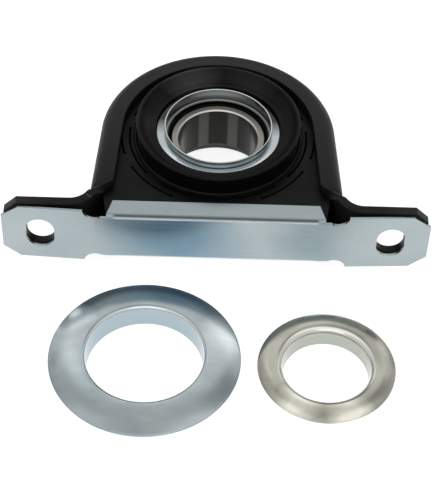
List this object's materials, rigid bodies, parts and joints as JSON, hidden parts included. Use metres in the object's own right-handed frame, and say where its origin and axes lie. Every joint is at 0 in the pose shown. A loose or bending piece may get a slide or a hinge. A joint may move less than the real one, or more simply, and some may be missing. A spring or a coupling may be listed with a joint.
{
  "type": "driveshaft centre bearing",
  "caption": "Sealed ball bearing in a rubber cushion under a lipped steel arch, on a flanged base plate with slotted feet, with its loose dust slingers beside it.",
  "frame": {"origin": "centre of the bearing, halfway along the shaft bore", "axes": "+Z along the shaft axis, +X along the base plate, -Y out of the mounting face"},
  "size_m": [0.236, 0.2563, 0.0534],
  "materials": {
    "black_paint": "satin",
    "zinc": "satin",
    "yellow_zinc": "satin",
    "rubber": "matte",
    "race_steel": "ground",
    "ball_steel": "polished",
    "cage_steel": "satin"
  },
  "bodies": {
    "housing": {"bracket": "black_paint", "base_plate": "zinc", "rubber_cushion": "rubber", "front_retainer": "zinc", "rear_retainer": "zinc", "front_guard": "zinc", "rear_guard": "zinc", "front_seal": "rubber", "rear_seal": "rubber", "outer_race": "race_steel", "large_slinger": "zinc", "small_slinger": "yellow_zinc"},
    "inner_race": {"inner_race": "race_steel"},
    "ball_cage": {"front_cage": "cage_steel", "rear_cage": "cage_steel", "cage_rivets": "cage_steel", "ball_1": "ball_steel", "ball_2": "ball_steel", "ball_3": "ball_steel", "ball_4": "ball_steel", "ball_5": "ball_steel", "ball_6": "ball_steel", "ball_7": "ball_steel", "ball_8": "ball_steel", "ball_9": "ball_steel"}
  },
  "joints": [
    {"name": "shaft_spin", "type": "hinge", "parent": "housing", "child": "inner_race", "pos_m": [0, 0, 0], "axis": [0, 0, 1], "continuous": true},
    {"name": "ball_orbit", "type": "hinge", "parent": "housing", "child": "ball_cage", "pos_m": [0, 0, 0], "axis": [0, 0, 1], "continuous": true}
  ],
  "couplings": [
    {"joint": "ball_orbit", "follows": "shaft_spin", "ratio": 0.40231}
  ]
}
